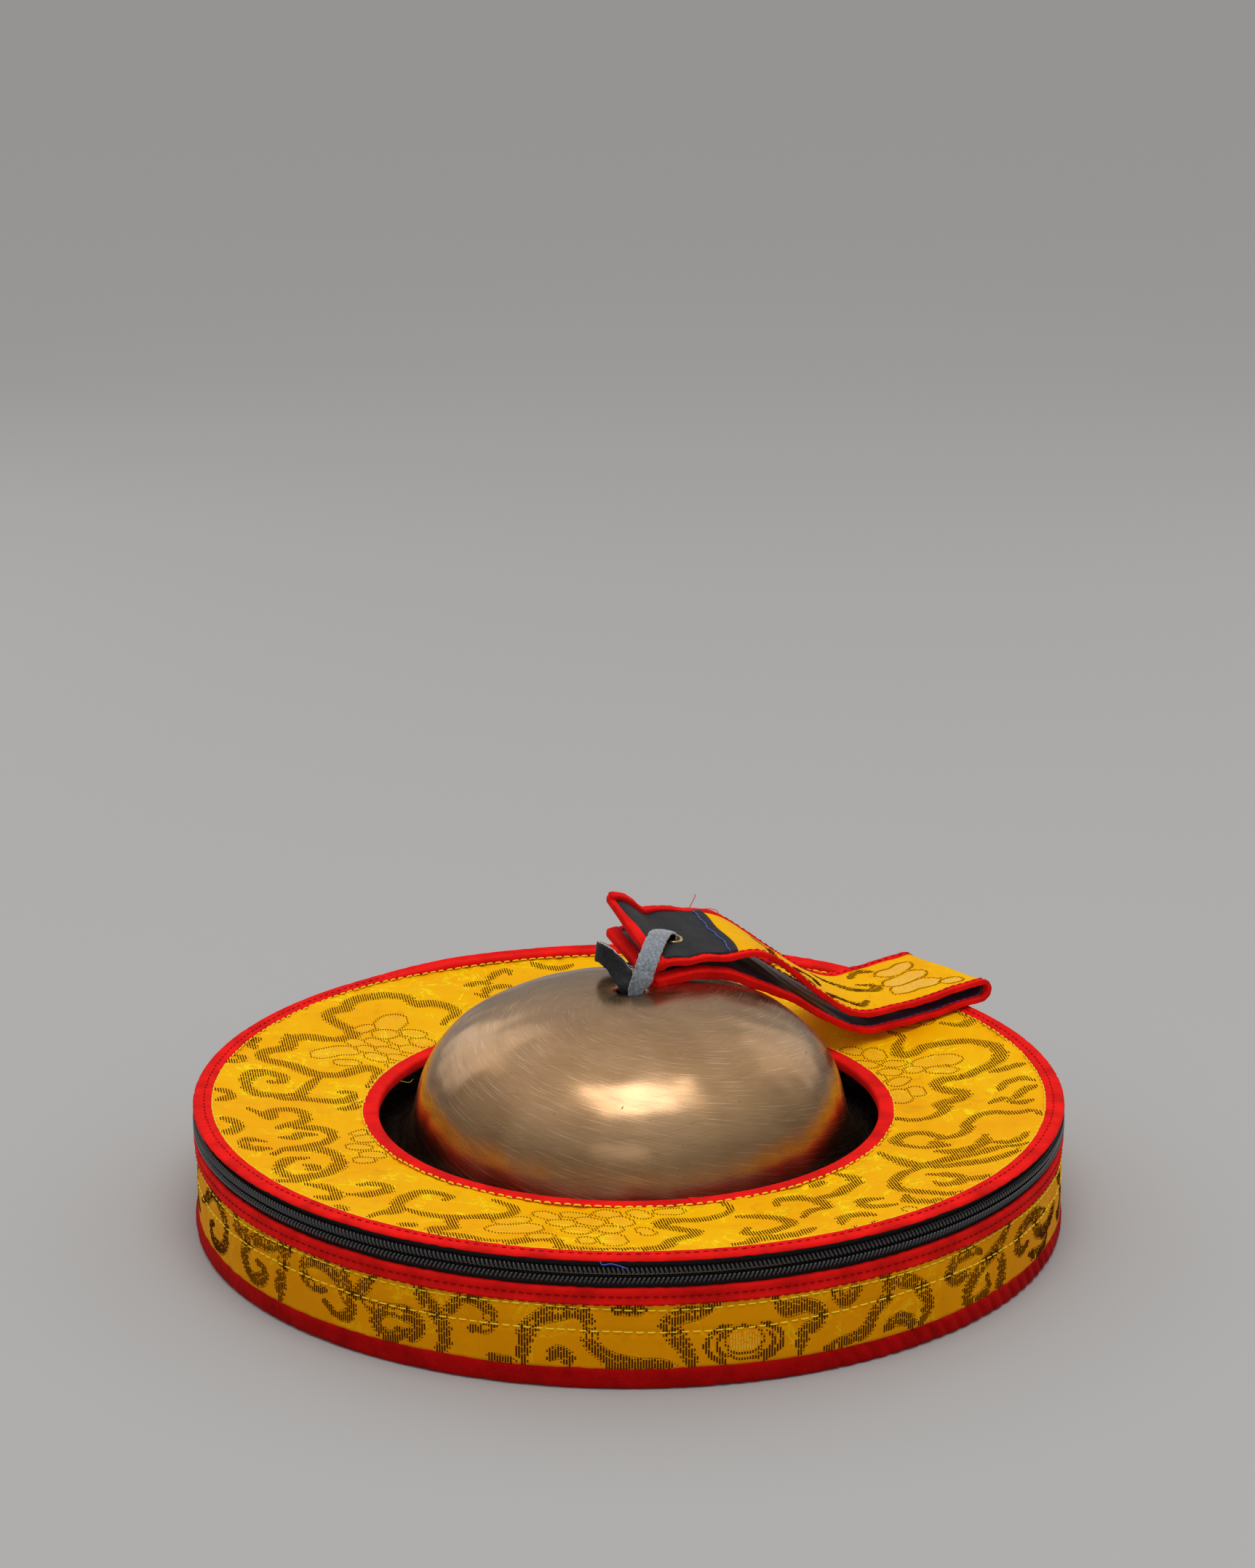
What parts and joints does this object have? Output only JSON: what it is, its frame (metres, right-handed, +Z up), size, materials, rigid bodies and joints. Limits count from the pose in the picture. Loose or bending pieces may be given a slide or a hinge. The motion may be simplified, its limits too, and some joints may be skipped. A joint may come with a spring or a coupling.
{
  "type": "cymbal pair in zip case",
  "caption": "Nested pair of big-bossed bronze hand cymbals in a round brocade zip case, with the upper boss and its folded hand strap standing out through the lid.",
  "frame": {"origin": "centre of the case's flat underside", "axes": "+Z up along the cymbals' axis, -Y the front of the case, +Y the fabric hinge of the lid at the back"},
  "size_m": [0.3, 0.3, 0.1004],
  "materials": {
    "brocade": "woven satin brocade",
    "red_cloth": "matt plain weave",
    "lining": "smooth satin",
    "board": "pressed fibre board",
    "padding": "soft wadding",
    "zip_tape": "close woven tape",
    "zip_coil": "satin nylon",
    "zip_metal": "black enamel",
    "bronze": "aged, brushed",
    "dark_leather": "smooth, fine grain",
    "thong_leather": "suede on one side",
    "eyelet_brass": "worn, polished"
  },
  "bodies": {
    "case": {"base_cover": "brocade", "base_board": "board", "base_lining": "lining", "bottom_piping": "red_cloth", "wall_lining": "lining", "wall_padding": "padding", "wall_cover": "brocade", "zip_band": "red_cloth", "lower_zip_tape": "zip_tape", "lower_zip_coil": "zip_coil", "hinge_gusset": "red_cloth"},
    "lid": {"lid_cover": "brocade", "lid_board": "board", "lid_lining": "lining", "lid_binding": "red_cloth", "hole_binding": "red_cloth", "upper_zip_tape": "zip_tape", "upper_zip_coil": "zip_coil", "lid_hinge_flap": "red_cloth"},
    "slider": {"zip_slider": "zip_metal"},
    "pull": {"zip_pull": "zip_metal"},
    "upper_cymbal": {"upper_cymbal": "bronze", "upper_washer": "dark_leather", "upper_knot": "thong_leather"},
    "upper_strap": {"upper_thong": "thong_leather", "upper_strap_band": "brocade", "upper_strap_lining": "lining", "upper_strap_front_binding": "red_cloth", "upper_strap_back_binding": "red_cloth", "upper_patch_top": "dark_leather", "upper_patch_bottom": "dark_leather", "upper_eyelet_top": "eyelet_brass", "upper_eyelet_bottom": "eyelet_brass"},
    "lower_cymbal": {"lower_cymbal": "bronze", "lower_washer": "dark_leather", "lower_knot": "thong_leather", "lower_thong": "thong_leather", "lower_strap_band": "brocade", "lower_strap_front_binding": "red_cloth", "lower_strap_back_binding": "red_cloth", "lower_eyelets": "eyelet_brass"}
  },
  "joints": [
    {"name": "lid_hinge", "type": "hinge", "parent": "case", "child": "lid", "pos_m": [0, 0.1505, 0.04], "axis": [-1, 0, 0], "range_deg": [0, 105]},
    {"name": "slider_travel", "type": "hinge", "parent": "case", "child": "slider", "pos_m": [0, 0, 0.0388], "axis": [0, 0, -1], "range_deg": [0, 302]},
    {"name": "pull_swing", "type": "hinge", "parent": "slider", "child": "pull", "pos_m": [0.07403, 0.13355, 0.0388], "axis": [0, 0, -1], "range_deg": [0, 170]},
    {"name": "upper_cymbal_turn", "type": "hinge", "parent": "case", "child": "upper_cymbal", "pos_m": [0.0006, -0.0041, 0.0245], "axis": [0, 0, 1], "continuous": true},
    {"name": "strap_swing", "type": "hinge", "parent": "upper_cymbal", "child": "upper_strap", "pos_m": [0.0006, -0.0041, 0.084], "axis": [0.6991, -0.6991, 0.1498], "range_deg": [0, 110], "deforming": ["upper_thong"]},
    {"name": "lower_cymbal_turn", "type": "hinge", "parent": "case", "child": "lower_cymbal", "pos_m": [0.0006, -0.0041, 0.006], "axis": [0, 0, 1], "continuous": true}
  ],
  "couplings": [
    {"joint": "strap_swing", "follows": "lid_hinge", "ratio": 1.0476}
  ]
}
